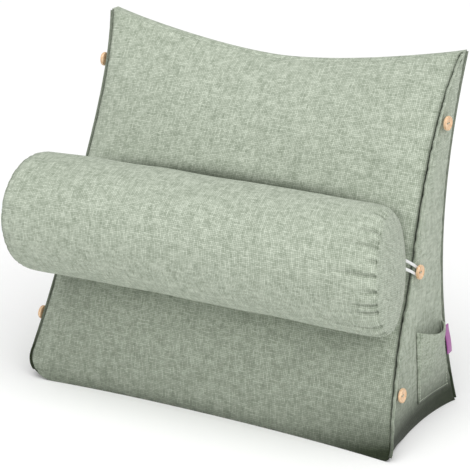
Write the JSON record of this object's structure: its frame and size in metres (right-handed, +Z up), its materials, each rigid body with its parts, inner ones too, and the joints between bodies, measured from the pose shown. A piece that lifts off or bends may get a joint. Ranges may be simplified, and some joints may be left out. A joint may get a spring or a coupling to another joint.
{
  "type": "wedge backrest pillow",
  "caption": "Filled wedge backrest cushion in sage linen-look cloth, with a round neck roll buttoned across its sloped front and an open side pocket.",
  "frame": {"origin": "middle of the flat underside, on the surface the pillow stands on", "axes": "+Z up, -Y out of the sloped front that the user leans on, +X to the side with the pocket"},
  "size_m": [0.4717, 0.2589, 0.3991],
  "materials": {
    "sage_linen": "matt slubby linen-look weave",
    "pale_wood": "turned, satin",
    "white_elastic": "round elastic cord",
    "purple_tag": "woven"
  },
  "bodies": {
    "root": {"button_left_bottom": "pale_wood", "button_left_mid": "pale_wood", "button_left_top": "pale_wood", "button_right_bottom": "pale_wood", "button_right_mid": "pale_wood", "button_right_top": "pale_wood", "loop_left": "white_elastic", "loop_right": "white_elastic", "neck_roll": "sage_linen", "pocket_right": "sage_linen", "tag_right": "purple_tag", "wedge_cushion": "sage_linen", "welt_back_left": "sage_linen", "welt_back_right": "sage_linen", "welt_front_left": "sage_linen", "welt_front_right": "sage_linen"}
  },
  "joints": []
}
